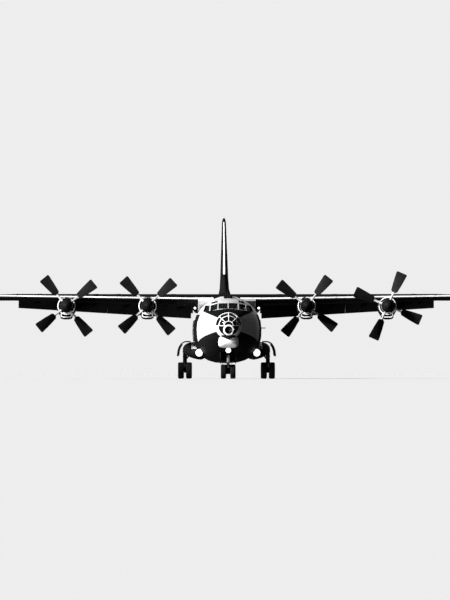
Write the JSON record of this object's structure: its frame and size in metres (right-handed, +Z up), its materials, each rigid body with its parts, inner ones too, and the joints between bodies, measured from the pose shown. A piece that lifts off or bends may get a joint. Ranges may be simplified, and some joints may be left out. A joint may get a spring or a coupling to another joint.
{
  "type": "military transport plane",
  "caption": "High-wing military transport with propeller engines, a glazed nose, lowered flaps, freight doors under the upswept tail and wheeled landing gear.",
  "frame": {"origin": "centre of the bounding box in plan, on the ground under the wheels", "axes": "-Y towards the nose, +X towards the plane's left (port) wing tip, +Z up"},
  "size_m": [38, 33.1, 10.53],
  "materials": {
    "pale_paint": "satin",
    "cockpit_paint": "satin",
    "dark_paint": "satin",
    "tail_paint": "satin",
    "tail_cone_paint": "satin",
    "glazing": "gloss",
    "radome": "matte",
    "blade_paint": "satin",
    "gear_paint": "satin",
    "tyre": "matte",
    "engine_metal": "satin",
    "cabin_lining": "matte"
  },
  "bodies": {
    "airframe": {"centre_fuselage": "pale_paint", "chin_radome": "radome", "cockpit_glass": "glazing", "cockpit_section": "cockpit_paint", "crown_fairing": "dark_paint", "engine_left_inner": "engine_metal", "engine_left_outer": "engine_metal", "engine_right_inner": "engine_metal", "engine_right_outer": "engine_metal", "fin": "tail_paint", "flight_deck": "cabin_lining", "freight_floor": "cabin_lining", "main_door_left": "dark_paint", "main_door_right": "dark_paint", "main_leg_left": "gear_paint", "main_leg_right": "gear_paint", "nacelle_left_inner": "dark_paint", "nacelle_left_outer": "dark_paint", "nacelle_right_inner": "dark_paint", "nacelle_right_outer": "dark_paint", "nose_door_left": "dark_paint", "nose_door_right": "dark_paint", "nose_frame": "cockpit_paint", "nose_glass": "glazing", "nose_leg": "gear_paint", "rear_fuselage": "pale_paint", "sponson_left": "dark_paint", "sponson_right": "dark_paint", "tail_cone": "tail_cone_paint", "tailplane": "tail_paint", "wing_centre": "dark_paint", "wing_left": "dark_paint", "wing_right": "dark_paint"},
    "propeller_right_outer": {"propeller_right_outer": "blade_paint", "spinner_right_outer": "blade_paint"},
    "propeller_right_inner": {"propeller_right_inner": "blade_paint", "spinner_right_inner": "blade_paint"},
    "propeller_left_inner": {"propeller_left_inner": "blade_paint", "spinner_left_inner": "blade_paint"},
    "propeller_left_outer": {"propeller_left_outer": "blade_paint", "spinner_left_outer": "blade_paint"},
    "nose_fork": {"nose_fork": "gear_paint"},
    "nose_wheels": {"nose_wheels": "tyre"},
    "main_wheels_front_left": {"main_wheels_front_left": "tyre"},
    "main_wheels_rear_left": {"main_wheels_rear_left": "tyre"},
    "main_wheels_front_right": {"main_wheels_front_right": "tyre"},
    "main_wheels_rear_right": {"main_wheels_rear_right": "tyre"},
    "flap_inner_left": {"flap_inner_left": "dark_paint"},
    "flap_outer_left": {"flap_outer_left": "dark_paint"},
    "flap_inner_right": {"flap_inner_right": "dark_paint"},
    "flap_outer_right": {"flap_outer_right": "dark_paint"},
    "aileron_left": {"aileron_left": "dark_paint"},
    "aileron_right": {"aileron_right": "dark_paint"},
    "elevator_left": {"elevator_left": "tail_paint"},
    "elevator_right": {"elevator_right": "tail_paint"},
    "rudder": {"rudder": "tail_paint"},
    "freight_leaf_left": {"freight_leaf_left": "dark_paint"},
    "freight_leaf_right": {"freight_leaf_right": "dark_paint"},
    "freight_door_aft": {"freight_door_aft": "dark_paint"},
    "crew_door": {"crew_door": "pale_paint"}
  },
  "joints": [
    {"name": "propeller_spin_right_outer", "type": "hinge", "parent": "airframe", "child": "propeller_right_outer", "pos_m": [-10.2, -7.2, 4.62], "axis": [0, -1, 0], "continuous": true},
    {"name": "propeller_spin_right_inner", "type": "hinge", "parent": "airframe", "child": "propeller_right_inner", "pos_m": [-5.05, -7.83, 4.62], "axis": [0, -1, 0], "continuous": true},
    {"name": "propeller_spin_left_inner", "type": "hinge", "parent": "airframe", "child": "propeller_left_inner", "pos_m": [5.05, -7.83, 4.62], "axis": [0, -1, 0], "continuous": true},
    {"name": "propeller_spin_left_outer", "type": "hinge", "parent": "airframe", "child": "propeller_left_outer", "pos_m": [10.2, -7.2, 4.62], "axis": [0, -1, 0], "continuous": true},
    {"name": "nose_steering", "type": "hinge", "parent": "airframe", "child": "nose_fork", "pos_m": [0, -13.55, 1], "axis": [0, 0, 1], "range_deg": [-35, 35]},
    {"name": "nose_wheel_spin", "type": "hinge", "parent": "nose_fork", "child": "nose_wheels", "pos_m": [0, -13.55, 0.45], "axis": [1, 0, 0], "continuous": true},
    {"name": "main_wheel_spin_front_left", "type": "hinge", "parent": "airframe", "child": "main_wheels_front_left", "pos_m": [2.65, -3.27, 0.525], "axis": [1, 0, 0], "continuous": true},
    {"name": "main_wheel_spin_rear_left", "type": "hinge", "parent": "airframe", "child": "main_wheels_rear_left", "pos_m": [2.65, -2.03, 0.525], "axis": [1, 0, 0], "continuous": true},
    {"name": "main_wheel_spin_front_right", "type": "hinge", "parent": "airframe", "child": "main_wheels_front_right", "pos_m": [-2.65, -3.27, 0.525], "axis": [1, 0, 0], "continuous": true},
    {"name": "main_wheel_spin_rear_right", "type": "hinge", "parent": "airframe", "child": "main_wheels_rear_right", "pos_m": [-2.65, -2.03, 0.525], "axis": [1, 0, 0], "continuous": true},
    {"name": "flap_inner_left_retract", "type": "hinge", "parent": "airframe", "child": "flap_inner_left", "pos_m": [4.8975, -2.12747, 4.4228], "axis": [0.9988, -0.0225, 0.043], "range_deg": [0, 47]},
    {"name": "flap_outer_left_retract", "type": "hinge", "parent": "airframe", "child": "flap_outer_left", "pos_m": [10.4425, -2.25264, 4.66164], "axis": [0.9988, -0.0225, 0.043], "range_deg": [0, 47]},
    {"name": "flap_inner_right_retract", "type": "hinge", "parent": "airframe", "child": "flap_inner_right", "pos_m": [-4.8975, -2.12747, 4.4228], "axis": [0.9988, 0.0225, -0.043], "range_deg": [0, 47]},
    {"name": "flap_outer_right_retract", "type": "hinge", "parent": "airframe", "child": "flap_outer_right", "pos_m": [-10.4425, -2.25264, 4.66164], "axis": [0.9988, 0.0225, -0.043], "range_deg": [0, 47]},
    {"name": "aileron_left_hinge", "type": "hinge", "parent": "airframe", "child": "aileron_left", "pos_m": [15.935, -2.49774, 5.08095], "axis": [0.9999, -0.0095, -0.0104], "range_deg": [-20, 20]},
    {"name": "aileron_right_hinge", "type": "hinge", "parent": "airframe", "child": "aileron_right", "pos_m": [-15.935, -2.49774, 5.08095], "axis": [0.9999, 0.0095, 0.0104], "range_deg": [-20, 20]},
    {"name": "elevator_left_hinge", "type": "hinge", "parent": "airframe", "child": "elevator_left", "pos_m": [3.435, 13.55724, 4.98], "axis": [0.9986, 0.0521, 0], "range_deg": [-15, 25]},
    {"name": "elevator_right_hinge", "type": "hinge", "parent": "airframe", "child": "elevator_right", "pos_m": [-3.435, 13.55724, 4.98], "axis": [0.9986, -0.0521, 0], "range_deg": [-15, 25]},
    {"name": "rudder_hinge", "type": "hinge", "parent": "airframe", "child": "rudder", "pos_m": [0, 13.435, 7.8], "axis": [0, 0.2558, 0.9667], "range_deg": [-25, 25]},
    {"name": "freight_leaf_left_hinge", "type": "hinge", "parent": "airframe", "child": "freight_leaf_left", "pos_m": [1.19, 5.575, 2.02355], "axis": [-0.0554, 0.9838, 0.1702], "range_deg": [0, 88]},
    {"name": "freight_leaf_right_hinge", "type": "hinge", "parent": "airframe", "child": "freight_leaf_right", "pos_m": [-1.19, 5.575, 2.02355], "axis": [-0.0554, -0.9838, -0.1702], "range_deg": [0, 88]},
    {"name": "freight_door_aft_hinge", "type": "hinge", "parent": "airframe", "child": "freight_door_aft", "pos_m": [0, 11.85, 3.15628], "axis": [-1, 0, 0], "range_deg": [0, 40]},
    {"name": "crew_door_hinge", "type": "hinge", "parent": "airframe", "child": "crew_door", "pos_m": [2.05697, -10.125, 3.15], "axis": [0.0166, 0.9999, 0], "range_deg": [0, 80]}
  ],
  "couplings": [
    {"joint": "flap_outer_left_retract", "follows": "flap_inner_left_retract", "ratio": 1},
    {"joint": "flap_inner_right_retract", "follows": "flap_inner_left_retract", "ratio": 1},
    {"joint": "flap_outer_right_retract", "follows": "flap_inner_left_retract", "ratio": 1},
    {"joint": "aileron_right_hinge", "follows": "aileron_left_hinge", "ratio": -1},
    {"joint": "elevator_right_hinge", "follows": "elevator_left_hinge", "ratio": 1}
  ]
}
